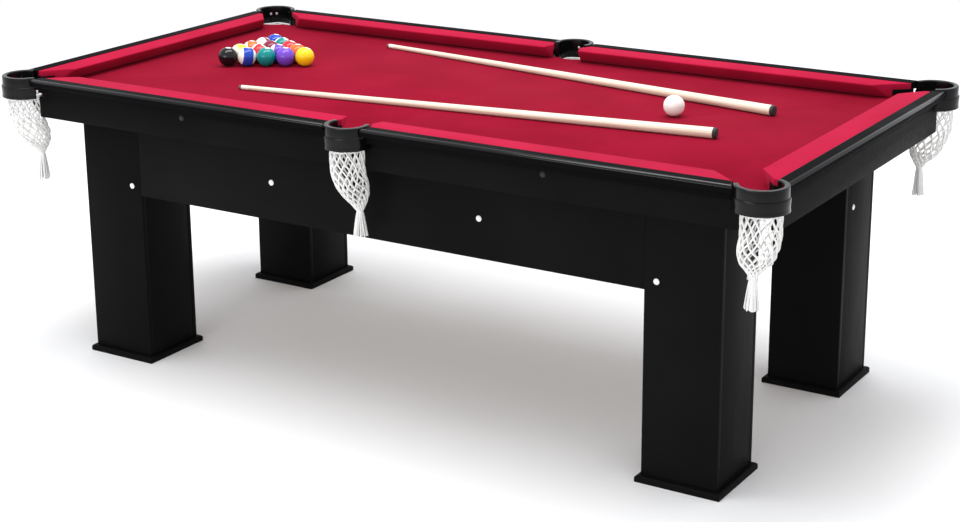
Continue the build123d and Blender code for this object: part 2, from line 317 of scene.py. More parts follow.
def merged_copy(of, name):
    """A clean copy of a frame node's mesh, its doubled corners merged and flat faces made whole."""
    copy = bpy.data.objects.new(name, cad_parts[of].data.copy())
    scene.collection.objects.link(copy)
    copy.data.materials.clear()
    only(copy)
    bpy.ops.mesh.customdata_custom_splitnormals_clear()
    bpy.ops.object.mode_set(mode="EDIT")
    bpy.ops.mesh.select_all(action="SELECT")
    bpy.ops.mesh.remove_doubles(threshold=DOUBLED_WITHIN)
    bpy.ops.mesh.dissolve_limited(angle_limit=FLAT_WITHIN)
    bpy.ops.object.mode_set(mode="OBJECT")
    return copy


for side in SIDES:
    edge_board = merged_copy(f"box_board_{side}", f"box_board_eased_{side}")
    soften(edge_board, BOX_EASE, 2)
    edge_board.data.materials.append(lengthwise_laminate)
    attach(edge_board, "table")
    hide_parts(f"box_board_{side}")


# ---- top rails -------------------------------------------------------------------------
# The rails carry the cushions. Each is a matt black strip whose outer edge is rounded over
# with a glossy moulded trim, which takes one long thin reflection.

RAIL_EASE = 0.0006
GLOSS_FROM, GLOSS_TO = 0.08, 0.985
GLOSS_ABOVE = 0.004

rail_matt = finish("rail_matt", (0.0035, 0.0035, 0.0038), 0.55, Specular_IOR_Level=0.015)
spread(rail_matt, grain(rail_matt, 7.0, detail=5), shader_of(rail_matt)["Roughness"], 0.5, 0.62)
relief(rail_matt, grain(rail_matt, 620.0, detail=2), 0.1, 0.0002)
rail_gloss = finish("rail_gloss", (0.003, 0.003, 0.0033), 0.15, Specular_IOR_Level=0.25)
spread(rail_gloss, grain(rail_gloss, 30.0, detail=3), shader_of(rail_gloss)["Roughness"], 0.13, 0.19)

gloss_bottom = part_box("rail_left")[0].z + GLOSS_ABOVE
for side in SIDES:
    rail = merged_copy(f"rail_{side}", f"rail_trim_{side}")
    soften(rail, RAIL_EASE, 2)
    rail.data.materials.append(rail_matt)
    rail.data.materials.append(rail_gloss)
    bpy.ops.object.mode_set(mode="EDIT")
    pick("FACE", lambda middle, face: GLOSS_FROM < face.normal.z < GLOSS_TO and middle.z > gloss_bottom)
    rail.active_material_index = 1
    bpy.ops.object.material_slot_assign()
    bpy.ops.object.mode_set(mode="OBJECT")
    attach(rail, "table")
    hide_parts(f"rail_{side}")


# ---- bed board and battens ---------------------------------------------------------------
# The bed is raw fibreboard, its upright edges sealed with black paint, and the battens
# under it are pine. They show only from below and in the pockets, so their shapes stay.

EDGE_PAINT = (0.006, 0.006, 0.0065)
FIBREBOARD_SHADES = ((0.30, 0.205, 0.12), (0.43, 0.31, 0.19))
PINE_SHADES = ((0.50, 0.32, 0.16), (0.70, 0.52, 0.31))


def painted_edges(made, noise, low, high):
    """Raw board in a range of colours on its flat faces, and black paint on its upright ones."""
    place = node(made, "ShaderNodeTexCoord")
    facing = node(made, "ShaderNodeSeparateXYZ")
    flat = node(made, "ShaderNodeMath", operation="ABSOLUTE")
    paint = node(made, "ShaderNodeMix", data_type="RGBA")
    paint.inputs[6].default_value = (*EDGE_PAINT, 1)
    wire(made, place.outputs["Normal"], facing.inputs["Vector"])
    wire(made, facing.outputs["Z"], flat.inputs[0])
    wire(made, flat.outputs[0], paint.inputs["Factor"])
    spread(made, noise, paint.inputs[7], low, high)
    wire(made, paint.outputs[2], shader_of(made)["Base Color"])


fibreboard = finish("fibreboard", (0.36, 0.25, 0.15), 0.85)
painted_edges(fibreboard, grain(fibreboard, 180.0, detail=6), *FIBREBOARD_SHADES)
relief(fibreboard, grain(fibreboard, 500.0), 0.3, 0.0004)
pine = finish("pine", (0.6, 0.42, 0.24), 0.65)
pine_figure = grain(pine, 22.0, stretch=(0.5, 0.5, 0.25), detail=7)
spread(pine, pine_figure, shader_of(pine)["Base Color"], *PINE_SHADES)
relief(pine, grain(pine, 260.0), 0.25, 0.0004)
for part, look in (("bed", fibreboard), ("bed_battens", pine)):
    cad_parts[part].data.materials.clear()
    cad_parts[part].data.materials.append(look)


# ---- bed cloth ---------------------------------------------------------------------------
# One sheet of napped wool cloth is stretched over the bed board, turned down over the edge
# of each pocket cut-out, and glued beneath the rails.

CLOTH_T = 0.0010
LIP_ROUND = 0.0014
LIP_STEPS = ((LIP_ROUND * 0.45, 0.0005), (LIP_ROUND, 0.0014), (LIP_ROUND, 0.014))
CORNER_AT = (1.072, 0.548)
MIDDLE_AT = (0.0, 0.560)
CORNER_R = 0.048
MIDDLE_R = 0.043
CORNER_CUT_R = CORNER_R + 0.002
MIDDLE_CUT_R = MIDDLE_R + 0.003
POCKETS = {
    "front_left": (-CORNER_AT[0], -CORNER_AT[1], 45.0),
    "front_right": (CORNER_AT[0], -CORNER_AT[1], 135.0),
    "back_left": (-CORNER_AT[0], CORNER_AT[1], -45.0),
    "back_right": (CORNER_AT[0], CORNER_AT[1], -135.0),
    "front_middle": (0.0, -MIDDLE_AT[1], 90.0),
    "back_middle": (0.0, MIDDLE_AT[1], -90.0),
}


def cloth_finish(name, dark, light, sheen):
    """Napped crimson cloth: a fine weave, faint brushing and a soft sheen."""
    made = finish(name, light, 0.9, Sheen_Weight=sheen, Sheen_Roughness=0.45, Specular_IOR_Level=0.02)
    shader_of(made)["Sheen Tint"].default_value = (1.0, 0.55, 0.65, 1)
    spread(made, grain(made, 5.0, detail=9), shader_of(made)["Base Color"], dark, light, 0.35, 0.65)
    relief(made, grain(made, 1100.0, detail=3), 0.35, 0.0004)
    return made


bed_crimson = cloth_finish("bed_crimson", (0.205, 0.0035, 0.016), (0.24, 0.005, 0.021), 0.01)
bed_cloth = merged_copy("bed_cloth", "bed_cloth_sheet")
cloth_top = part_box("bed_cloth")[1].z
bpy.ops.object.mode_set(mode="EDIT")
pick("FACE", lambda middle, face: face.normal.z < 0.9)
bpy.ops.mesh.delete(type="FACE")
for name, (x, y, _) in POCKETS.items():
    cut = MIDDLE_CUT_R if "middle" in name else CORNER_CUT_R

    def on_cut(middle, edge):
        """Whether both ends of an edge lie on this pocket's cut-out."""
        return all(math.hypot(end.co.x - x, end.co.y - y) < cut + 0.0002 for end in edge.verts)

    pick("EDGE", on_cut)
    reach = cut
    for inward, drop in LIP_STEPS:
        share = (cut - inward) / reach
        bpy.ops.mesh.extrude_edges_move()
        bpy.ops.transform.translate(value=(0, 0, -drop))
        bpy.ops.transform.resize(value=(share, share, 1), center_override=(x, y, cloth_top))
        reach = cut - inward
bpy.ops.object.mode_set(mode="OBJECT")
bed_cloth.data.materials.append(bed_crimson)
thicken = bed_cloth.modifiers.new("thicken", "SOLIDIFY")
thicken.thickness, thicken.offset = CLOTH_T, -1
bpy.ops.object.modifier_apply(modifier="thicken")
bpy.ops.object.shade_smooth_by_angle(angle=math.radians(50))
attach(bed_cloth, "table")
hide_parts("bed_cloth")


# ---- cushions ----------------------------------------------------------------------------
# Six rubber cushions, each wrapped in the same cloth as the bed. Their cloth is a lighter copy of the bed's,
# and that lighter colour is painted light that brightens the cushion tops. The cloth is drawn over the
# rounded nose and round the cut jaws, which gives the top a slight crown.

NOSE_ROUND = 0.0022
CROWN = 0.0009
CROWN_LINES = 6
CROWN_REACH = 0.0008

# Painted light: the bed's cloth again, with a lighter base colour as a painted highlight on the cushions.
cushion_crimson_painted_light = cloth_finish("cushion_crimson_painted_light", (0.34, 0.008, 0.034), (0.39, 0.010, 0.042), 0.03)

for side in SIDES:
    low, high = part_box(f"cushion_{side}")
    cushion = merged_copy(f"cushion_{side}", f"cushion_covered_{side}")
    soften(cushion, NOSE_ROUND, 3, angle=24)
    across = 0 if side in ("left", "right") else 1
    cut_normal = (1, 0, 0) if across == 0 else (0, 1, 0)
    bpy.ops.object.mode_set(mode="EDIT")
    for line in range(1, CROWN_LINES):
        place = low.lerp(high, line / CROWN_LINES)
        bpy.ops.mesh.select_all(action="SELECT")
        bpy.ops.mesh.bisect(plane_co=place, plane_no=cut_normal)
    form = bmesh.from_edit_mesh(cushion.data)
    for corner in form.verts:
        share = (corner.co[across] - low[across]) / (high[across] - low[across])
        if corner.co.z > high.z - CROWN_REACH:
            corner.co.z += CROWN * (4 * share * (1 - share)) - CROWN / 2
    bmesh.update_edit_mesh(cushion.data)
    bpy.ops.object.mode_set(mode="OBJECT")
    bpy.ops.object.shade_smooth_by_angle(angle=math.radians(50))
    cushion.data.materials.append(cushion_crimson_painted_light)
    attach(cushion, "table")
    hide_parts(f"cushion_{side}")


# ---- pocket collars ------------------------------------------------------------------------
# Moulded black plastic collars line the six pockets: a rounded rim over a wider band with
# a groove low down, turned as one ring that is left open towards the bed.

COLLAR_ARC = 230.0
COLLAR_STEPS = 46
BAND_OUT = 0.016
RIM_OUT = 0.013
GROOVE = (0.7425, 0.7455)
GROOVE_DEPTH = 0.0012
CROWN_ROUND = 0.0028
FOOT_ROUND = 0.0012
END_ROUND = 0.0015
COLLAR_LEDGE = 0.767
EXACT = 1e-5

collar_plastic = finish("collar_plastic", (0.003, 0.003, 0.0034), 0.16, Specular_IOR_Level=0.2)
spread(collar_plastic, grain(collar_plastic, 60.0), shader_of(collar_plastic)["Roughness"], 0.13, 0.19)
relief(collar_plastic, grain(collar_plastic, 900.0, detail=2), 0.04, 0.0002)


def turned_collar(name, radius, bottom, ledge, top):
    """A C-shaped ring round the origin, from a flat section turned about the pocket's axis."""
    middle_of_wall = (radius + BAND_OUT / 2, 0, (bottom + top) / 2)
    bpy.ops.mesh.primitive_plane_add(size=1, location=middle_of_wall, rotation=(math.pi / 2, 0, 0))
    made = bpy.context.object
    made.name = name
    made.scale = (BAND_OUT, top - bottom, 1)
    bpy.ops.object.transform_apply(location=True, rotation=True, scale=True)
    bpy.ops.object.mode_set(mode="EDIT")
    for height in (ledge, *GROOVE):
        bpy.ops.mesh.select_all(action="SELECT")
        bpy.ops.mesh.bisect(plane_co=(0, 0, height), plane_no=(0, 0, 1))
    bpy.ops.mesh.select_all(action="SELECT")
    bpy.ops.mesh.bisect(plane_co=(radius + RIM_OUT, 0, 0), plane_no=(1, 0, 0))
    pick("FACE", lambda middle, face: middle.z > ledge and middle.x > radius + RIM_OUT)
    bpy.ops.mesh.delete(type="FACE")
    in_groove = (GROOVE[0] + GROOVE[1]) / 2
    outer = radius + BAND_OUT
    pick("EDGE", lambda middle, edge: abs(middle.z - in_groove) < NEAR and middle.x > outer - NEAR)
    bpy.ops.transform.translate(value=(-GROOVE_DEPTH, 0, 0))
    bpy.ops.mesh.select_all(action="SELECT")
    bpy.ops.mesh.dissolve_faces()

    def on_crown(place, vert):
        """Whether a corner is on the rim's top, or on the outer edge of the ledge below it."""
        return place.z > ledge + NEAR or (place.z > ledge - NEAR and place.x > radius + RIM_OUT + 2 * NEAR)

    pick("VERT", on_crown)
    bpy.ops.mesh.bevel(offset=CROWN_ROUND, segments=4, affect="VERTICES")
    pick("VERT", lambda place, vert: place.z < bottom + NEAR)
    bpy.ops.mesh.bevel(offset=FOOT_ROUND, segments=2, affect="VERTICES")
    bpy.ops.mesh.select_all(action="SELECT")
    bpy.ops.mesh.delete(type="ONLY_FACE")
    bpy.ops.mesh.select_all(action="SELECT")
    bpy.ops.mesh.spin(steps=COLLAR_STEPS, angle=math.radians(COLLAR_ARC), center=(0, 0, 0), axis=(0, 0, 1))
    for at_start in (True, False):

        def at_this_end(middle, edge):
            """Whether an open edge lies at the end that is being closed."""
            return edge.is_boundary and at_start == (middle.x > 0 and abs(middle.y) < EXACT)

        pick("EDGE", at_this_end)
        bpy.ops.mesh.edge_face_add()
    bpy.ops.mesh.select_all(action="SELECT")
    bpy.ops.mesh.normals_make_consistent(inside=False)
    pick("EDGE", lambda middle, edge: any(len(face.verts) > 8 for face in edge.link_faces))
    bpy.ops.mesh.bevel(offset=END_ROUND, segments=3, affect="EDGES")
    bpy.ops.object.mode_set(mode="OBJECT")
    bpy.ops.object.shade_smooth_by_angle(angle=math.radians(40))
    return made


def placed_copy(model, name, pocket, turn=0.0):
    """A copy of a model made round the origin, set at a pocket and turned to its mouth."""
    x, y, mouth = POCKETS[pocket]
    copy = model.copy()
    copy.data = model.data.copy()
    copy.name = copy.data.name = name
    scene.collection.objects.link(copy)
    copy.data.transform(Matrix.Translation((x, y, 0)) @ Matrix.Rotation(math.radians(mouth + turn), 4, "Z"))
    return copy


collar_bottom, collar_top = (corner.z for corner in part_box("collar_front_middle"))
models = {}
for kind, radius in (("corner", CORNER_R), ("middle", MIDDLE_R)):
    models[kind] = turned_collar(f"collar_model_{kind}", radius, collar_bottom, COLLAR_LEDGE, collar_top)
for pocket in POCKETS:
    kind = "middle" if "middle" in pocket else "corner"
    collar = placed_copy(models[kind], f"collar_ring_{pocket}", pocket, turn=(COLLAR_ARC - 360) / 2)
    collar.data.materials.append(collar_plastic)
    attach(collar, "table")
    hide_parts(f"collar_{pocket}")
for model in models.values():
    bpy.data.objects.remove(model)


# ---- rivets in the collars -----------------------------------------------------------------
# Two domed steel rivets hold each collar to its backing. Their heads show on the inside
# wall, across from the mouth.

RIVET_R = 0.004
RIVET_H = 0.0016
RIVET_Z = 0.768
RIVET_FLANGE = 0.0004
RIVET_SPREAD = 11.0
RIVET_GAP = 0.0001
DOME_SHARE = 0.88

rivet_steel = finish("rivet_steel", (0.62, 0.62, 0.62), 0.3, Metallic=1.0)
spread(rivet_steel, grain(rivet_steel, 900.0), shader_of(rivet_steel)["Roughness"], 0.22, 0.42)


def dome(radius, height, flange):
    """A low dome on a thin flange, round the origin, its base at the bottom."""
    bpy.ops.mesh.primitive_uv_sphere_add(segments=24, ring_count=12, radius=1)
    made = bpy.context.object
    made.scale = (radius * DOME_SHARE, radius * DOME_SHARE, height - flange)
    bpy.ops.object.transform_apply(location=True, rotation=True, scale=True)
    bpy.ops.object.mode_set(mode="EDIT")
    bpy.ops.mesh.select_all(action="SELECT")
    bpy.ops.mesh.bisect(plane_co=(0, 0, 0), plane_no=(0, 0, 1), clear_inner=True, use_fill=False)
    pick("EDGE", lambda middle, edge: edge.is_boundary)
    bpy.ops.mesh.extrude_edges_move()
    bpy.ops.transform.resize(value=(1 / DOME_SHARE, 1 / DOME_SHARE, 1))
    bpy.ops.mesh.extrude_edges_move()
    bpy.ops.transform.translate(value=(0, 0, -flange))
    bpy.ops.mesh.edge_face_add()
    bpy.ops.mesh.select_all(action="SELECT")
    bpy.ops.transform.translate(value=(0, 0, flange))
    bpy.ops.mesh.normals_make_consistent(inside=False)
    bpy.ops.object.mode_set(mode="OBJECT")
    bpy.ops.object.shade_smooth_by_angle(angle=math.radians(50))
    return made


def set_on(model, place, outward):
    """A copy of a model that stands on a face at a place."""
    copy = model.copy()
    copy.data = model.data.copy()
    scene.collection.objects.link(copy)
    turn = Vector(outward).to_track_quat("Z", "Y").to_matrix().to_4x4()
    copy.data.transform(Matrix.Translation(place) @ turn)
    return copy


rivet_model = dome(RIVET_R, RIVET_H, RIVET_FLANGE)
heads = []
for pocket, (x, y, mouth) in POCKETS.items():
    radius = MIDDLE_R if "middle" in pocket else CORNER_R
    for spread_side in (-1, 1):
        angle = math.radians(mouth + 180 + spread_side * RIVET_SPREAD)
        away = Vector((math.cos(angle), math.sin(angle), 0))
        heads.append(set_on(rivet_model, Vector((x, y, RIVET_Z)) + away * (radius - RIVET_GAP), -away))
bpy.data.objects.remove(rivet_model)
rivets = joined(heads, "rivet_heads")
rivets.data.materials.append(rivet_steel)
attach(rivets, "table")
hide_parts("collar_rivets")


# ---- bolt caps -------------------------------------------------------------------------------
# White plastic caps are pressed over the bolt heads on the legs and skirts, and black ones
# over those on the box.

CAP_R = 0.0075
CAP_H = 0.003
CAP_FLANGE = 0.0006
CAP_Z = 0.500
CAP_FROM_SKIRT = 0.031
END_CAP_Y = 0.326
SKIRT_CAP = (0.312, 0.577)
BOX_CAP = (0.533, 0.736)

cap_white = finish("cap_white", (0.86, 0.86, 0.84), 0.28)
spread(cap_white, grain(cap_white, 300.0), shader_of(cap_white)["Roughness"], 0.22, 0.36)
cap_black = finish("cap_black", (0.012, 0.012, 0.012), 0.4, Specular_IOR_Level=0.25)
spread(cap_black, grain(cap_black, 300.0), shader_of(cap_black)["Roughness"], 0.28, 0.42)

cap_model = dome(CAP_R, CAP_H, CAP_FLANGE)
white_caps, black_caps = [], []
leg_low, leg_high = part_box("leg_back_right")
box_face_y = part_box("box_board_back_right")[1].y
for x_side in (-1, 1):
    for y_side in (-1, 1):
        out_y = (0, y_side, 0)
        out_x = (x_side, 0, 0)
        on_leg = (x_side * (leg_low.x + CAP_FROM_SKIRT), y_side * leg_high.y, CAP_Z)
        on_leg_end = (x_side * leg_high.x, y_side * END_CAP_Y, CAP_Z)
        on_skirt = (x_side * SKIRT_CAP[0], y_side * leg_high.y, SKIRT_CAP[1])
        on_box = (x_side * BOX_CAP[0], y_side * box_face_y, BOX_CAP[1])
        white_caps.append(set_on(cap_model, on_leg, out_y))
        white_caps.append(set_on(cap_model, on_leg_end, out_x))
        white_caps.append(set_on(cap_model, on_skirt, out_y))
        black_caps.append(set_on(cap_model, on_box, out_y))
bpy.data.objects.remove(cap_model)
cap_sets = (
    (white_caps, "bolt_caps_white", cap_white, "cap_white"),
    (black_caps, "bolt_caps_black", cap_black, "black_laminate"),
)
for caps, name, look, slot in cap_sets:
    cap_set = joined(caps, name)
    cap_set.data.materials.append(look)
    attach(cap_set, "table")
    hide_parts("bolt_caps")


# ---- net pockets -------------------------------------------------------------------------------
# Each pocket hangs a bag of white cotton cord, knotted into diamonds. The cords gather in a
# wrapped neck and end in a cut tassel.

NET_CORDS = 14
NET_TWIST = math.radians(150)
CORD_R = 0.0022
KNOT_R = 0.0034
KNOTS_TO = 0.9
PATH_STEPS = 44
UNEVEN_TURN = 0.10
UNEVEN_DROP = 0.012
HEM_DROPS = (0.0, 0.0042, 0.0084)
HEM_STEPS = 48
HEM_SWAY = 0.0006
WRAPS = 5
WRAP_STEPS = 20
WRAP_RISE = 0.0028
WRAP_TOP = 0.002
NECK_R = 0.0062
WRAP_R = 1.1 * NECK_R
TASSEL_STRANDS = 46
STRAND_STEPS = 7
STRAND_TURN = math.radians(137.5)
STRAND_SHARE = 0.95
TASSEL_BOTTOM = 0.497
TASSEL_FLARE = {"corner": 0.0165, "middle": 0.0205}
COTTON_SHADES = ((0.72, 0.715, 0.695), (0.86, 0.855, 0.84))
# Height, radius and shift towards the bed, at stations from the hem down to the neck.
NETS = {
    "corner": (
        (0.7375, 0.0434, -0.0050),
        (0.7040, 0.0436, -0.0046),
        (0.6720, 0.0436, -0.0030),
        (0.6400, 0.0425, 0.0100),
        (0.6120, 0.0350, 0.0190),
        (0.5920, 0.0190, 0.0270),
        (0.5740, 0.0062, 0.0300),
    ),
    "middle": (
        (0.7375, 0.0400, -0.0020),
        (0.7040, 0.0402, -0.0018),
        (0.6720, 0.0402, 0.0010),
        (0.6400, 0.0390, 0.0130),
        (0.6100, 0.0320, 0.0270),
        (0.5830, 0.0175, 0.0400),
        (0.5640, 0.0062, 0.0450),
    ),
}

net_cotton = finish("net_cotton", (0.80, 0.795, 0.775), 0.85, Sheen_Weight=0.1)
spread(net_cotton, grain(net_cotton, 260.0), shader_of(net_cotton)["Base Color"], *COTTON_SHADES)
relief(net_cotton, grain(net_cotton, 1400.0, stretch=(1, 1, 0.5)), 0.5, 0.0004)


def between(stations, share):
    """Smooth values between listed stations, at a share of the way along them."""
    last = len(stations) - 1
    place = share * last
    first = min(int(place), last - 1)
    t = place - first
    four = [stations[max(0, min(last, first + k))] for k in (-1, 0, 1, 2)]
    return [
        0.5 * (2 * b + (c - a) * t + (2 * a - 5 * b + 4 * c - d) * t * t + (3 * b - a - 3 * c + d) * t**3)
        for a, b, c, d in zip(*four)
    ]


def on_bag(stations, share, angle, proud=0.0):
    """A point on the bag's surface, or a little proud of it, with the pull of uneven knots."""
    low_down = math.sin(math.pi * min(1.0, share * 1.05))
    angle += UNEVEN_TURN * low_down * math.sin(3 * angle + 11.0 * share)
    share += UNEVEN_DROP * low_down * math.sin(4 * angle - 8.0 * share + 1.3)
    height, radius, shift = between(stations, min(1.0, max(0.0, share)))
    radius += proud
    return Vector((shift + radius * math.cos(angle), radius * math.sin(angle), height))


def cords_from(name, paths, thickness, sides=1):
    """Round cords along paths of points with their thickness shares, as one mesh."""
    line = bpy.data.curves.new(name, "CURVE")
    line.dimensions = "3D"
    line.bevel_depth, line.bevel_resolution = thickness, sides
    line.use_fill_caps = True
    for path in paths:
        run = line.splines.new("POLY")
        run.points.add(len(path) - 1)
        for point, (place, share) in zip(run.points, path):
            point.co = (*place, 1)
            point.radius = share
    made = bpy.data.objects.new(name, line)
    scene.collection.objects.link(made)
    only(made)
    bpy.ops.object.convert(target="MESH")
    return bpy.context.object


def crossing_cords(stations):
    """The bag's own cords, which run down it in two crossing sets."""
    paths = []
    for cord in range(NET_CORDS):
        start = 2 * math.pi * cord / NET_CORDS
        for way in (-1, 1):
            path = []
            for step in range(PATH_STEPS + 1):
                share = step / PATH_STEPS
                proud = way * CORD_R * 0.5
                path.append((on_bag(stations, share, start + way * NET_TWIST * share, proud), 1.0))
            paths.append(path)
    return paths


def around(shift, radius, height, steps, sway=0.0, phase=0.0):
    """One turn of cord about an upright line, rising and falling by a little sway."""
    path = []
    for step in range(steps + 1):
        angle = 2 * math.pi * step / steps
        level = height + sway * math.sin(5 * angle + phase)
        path.append((Vector((shift + radius * math.cos(angle), radius * math.sin(angle), level)), 1.0))
    return path


def knots_on(stations, chance):
    """A lump of cord where the two sets of cords cross, each turned and drawn out differently."""
    knots = []
    bpy.ops.mesh.primitive_ico_sphere_add(subdivisions=1, radius=KNOT_R)
    knot = bpy.context.object
    rows = int(KNOTS_TO * NET_TWIST * NET_CORDS / math.pi)
    for row in range(1, rows + 1):
        share = row * math.pi / (NET_CORDS * NET_TWIST)
        for place in range(NET_CORDS):
            angle = 2 * math.pi * place / NET_CORDS + (row % 2) * math.pi / NET_CORDS
            copy = knot.copy()
            copy.data = knot.data.copy()
            scene.collection.objects.link(copy)
            squash = Matrix.Diagonal((0.8, 1.0, 1.25 + 0.3 * chance.random(), 1))
            turn = Matrix.Rotation(angle, 4, "Z") @ Matrix.Rotation(chance.uniform(-0.5, 0.5), 4, "X")
            copy.data.transform(Matrix.Translation(on_bag(stations, share, angle)) @ turn @ squash)
            knots.append(copy)
    bpy.data.objects.remove(knot)
    return knots


def tassel_strands(height, shift, widest, chance):
    """Cut cords that spread from the neck and end unevenly."""
    strands = []
    for strand in range(TASSEL_STRANDS):
        reach = math.sqrt((strand + 0.5) / TASSEL_STRANDS)
        angle = strand * STRAND_TURN
        flare = widest * reach * chance.uniform(0.85, 1.1)
        end = TASSEL_BOTTOM + chance.uniform(0.0, 0.006)
        wander = chance.uniform(-0.35, 0.35)
        path = []
        for step in range(STRAND_STEPS + 1):
            share = step / STRAND_STEPS
            out = NECK_R * reach + (flare - NECK_R * reach) * share**0.8
            swing = angle + wander * share
            level = height - (height - end) * share
            place = Vector((shift + out * math.cos(swing), out * math.sin(swing), level))
            path.append((place, 1.0 - 0.2 * share))
        strands.append(path)
    return strands


def knotted_net(kind, stations, chance):
    """One bag with its hem, knots, neck and tassel, hung from the origin."""
    top, top_radius, top_shift = stations[0]
    hem = [around(top_shift, top_radius, top - drop, HEM_STEPS, HEM_SWAY, 900 * drop) for drop in HEM_DROPS]
    bag = cords_from(f"bag_{kind}", crossing_cords(stations) + hem, CORD_R)
    knots = knots_on(stations, chance)
    neck_top, _, neck_shift = stations[-1]
    heights = [neck_top + WRAP_TOP - turn * WRAP_RISE for turn in range(WRAPS)]
    wraps = [around(neck_shift, WRAP_R, height, WRAP_STEPS) for height in heights]
    neck = cords_from(f"neck_{kind}", wraps, CORD_R)
    strands = tassel_strands(neck_top, neck_shift, TASSEL_FLARE[kind], chance)
    tassel = cords_from(f"tassel_{kind}", strands, CORD_R * STRAND_SHARE)
    whole = joined([bag, *knots, neck, tassel], f"net_model_{kind}")
    bpy.ops.object.shade_smooth()
    return whole


net_models = {kind: knotted_net(kind, stations, random.Random(7)) for kind, stations in NETS.items()}
for pocket in POCKETS:
    kind = "middle" if "middle" in pocket else "corner"
    net = placed_copy(net_models[kind], f"net_bag_{pocket}", pocket)
    net.data.materials.append(net_cotton)
    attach(net, "table")
    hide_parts(f"net_{pocket}")
for model in net_models.values():
    bpy.data.objects.remove(model)


# ---- balls -------------------------------------------------------------------------------------
# Cast resin balls, polished. Seven are one colour, seven are white with a broad band, and
# each carries its plain number twice, on a white disc.

BALL_COLOURS = {
    "yellow": (0.93, 0.62, 0.01),
    "blue": (0.012, 0.055, 0.42),
    "red": (0.72, 0.022, 0.03),
    "purple": (0.16, 0.06, 0.52),
    "orange": (0.86, 0.14, 0.02),
    "green": (0.0, 0.23, 0.22),
    "maroon": (0.20, 0.012, 0.04),
    "black": (0.006, 0.006, 0.008),
}
IVORY = (0.88, 0.86, 0.80)
BAND_HALF = 0.52
DISC_COS = 0.955
DIGIT_SIZE = 0.0105
DIGIT_PROUD = 0.00006

ink = finish("number_ink", (0.01, 0.01, 0.012), 0.12)
spread(ink, grain(ink, 400.0), shader_of(ink)["Roughness"], 0.1, 0.16)


def mixed(made, value, low, high):
    """Mix two colours, or a colour and another mix, by a value."""
    blend = node(made, "ShaderNodeMix", data_type="RGBA")
    wire(made, value, blend.inputs["Factor"])
    for socket, colour in ((blend.inputs[6], low), (blend.inputs[7], high)):
        if isinstance(colour, tuple):
            socket.default_value = (*colour, 1)
        else:
            wire(made, colour, socket)
    return blend.outputs[2]


def ball_finish(name, colour, banded, centre, radius, turn):
    """Polished resin, with a band and two number discs set out from the ball's own axes."""
    made = finish(name, IVORY, 0.08, Specular_IOR_Level=0.35)
    place = node(made, "ShaderNodeTexCoord")
    own = node(made, "ShaderNodeMapping", vector_type="TEXTURE")
    own.inputs["Location"].default_value = centre
    own.inputs["Rotation"].default_value = turn
    own.inputs["Scale"].default_value = (radius, radius, radius)
    wire(made, place.outputs["Object"], own.inputs["Vector"])
    axes = node(made, "ShaderNodeSeparateXYZ")
    wire(made, own.outputs["Vector"], axes.inputs["Vector"])
    cloud = grain(made, 90.0, at=centre)
    shade = node(made, "ShaderNodeHueSaturation", Color=(*colour, 1))
    spread(made, cloud, shade.inputs["Value"], 0.95, 1.05)
    painted = shade.outputs["Color"]

    def beyond(axis, edge, width=0.012):
        """A soft step from nought to one where the distance along an axis passes an edge."""
        size = node(made, "ShaderNodeMath", operation="ABSOLUTE")
        wire(made, axes.outputs[axis], size.inputs[0])
        step = node(made, "ShaderNodeMapRange", interpolation_type="SMOOTHSTEP")
        step.inputs["From Min"].default_value = edge - width
        step.inputs["From Max"].default_value = edge + width
        wire(made, size.outputs[0], step.inputs["Value"])
        return step.outputs["Result"]

    if banded:
        painted = mixed(made, beyond("Z", BAND_HALF), painted, IVORY)
    if colour != IVORY:
        painted = mixed(made, beyond("X", DISC_COS, 0.004), painted, IVORY)
    wire(made, painted, shader_of(made)["Base Color"])
    return made


def polished_ball(name, centre, radius):
    """A smooth sphere with enough faces to keep a round outline."""
    bpy.ops.mesh.primitive_uv_sphere_add(segments=56, ring_count=28, radius=radius, location=centre)
    made = bpy.context.object
    bpy.ops.object.transform_apply(location=True, rotation=True, scale=True)
    bpy.ops.object.shade_smooth()
    made.name = made.data.name = name
    return made


def number_on(ball, number, centre, radius, turn):
    """Join the ball's number to it twice, as thin figures that follow its surface."""
    figures = []
    own = Euler(turn).to_matrix().to_4x4()
    for side in (0, math.pi):
        bpy.ops.object.text_add()
        text = bpy.context.object
        text.data.body = str(number)
        text.data.align_x = text.data.align_y = "CENTER"
        text.data.size = DIGIT_SIZE
        text.data.resolution_u = 3
        bpy.ops.object.convert(target="MESH")
        figure = bpy.context.object
        bpy.ops.object.mode_set(mode="EDIT")
        bpy.ops.mesh.select_all(action="SELECT")
        bpy.ops.mesh.remove_doubles(threshold=1e-6)
        bpy.ops.mesh.quads_convert_to_tris()
        bpy.ops.mesh.subdivide(number_cuts=2)
        bpy.ops.object.mode_set(mode="OBJECT")
        upright = Matrix.Rotation(side, 4, "Z") @ Euler((math.pi / 2, 0, math.pi / 2)).to_matrix().to_4x4()
        figure.data.transform(upright @ Matrix.Translation((0, 0, radius)))
        for corner in figure.data.vertices:
            corner.co = corner.co.normalized() * (radius + DIGIT_PROUD)
        figure.data.transform(Matrix.Translation(centre) @ own)
        figure.data.materials.append(ink)
        figures.append(figure)
    return joined([ball, *figures], ball.name)


ball_names = sorted(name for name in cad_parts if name.startswith("ball_"))
roll = random.Random(21)
for body in ball_names:
    low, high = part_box(body)
    centre, radius = (low + high) / 2, (high.z - low.z) / 2
    number = int(body[-2:])
    colour = list(BALL_COLOURS.values())[(number - 1) % len(BALL_COLOURS)]
    turn = (roll.uniform(-0.5, 0.5), roll.uniform(-1.5, -1.0), roll.uniform(0.0, 1.2))
    ball = polished_ball(f"{body}_polished", centre, radius)
    ball.data.materials.append(ball_finish(f"resin_{number:02d}", colour, number > 8, centre, radius, turn))
    ball = number_on(ball, number, centre, radius, turn)
    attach(ball, body)
    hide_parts(body)

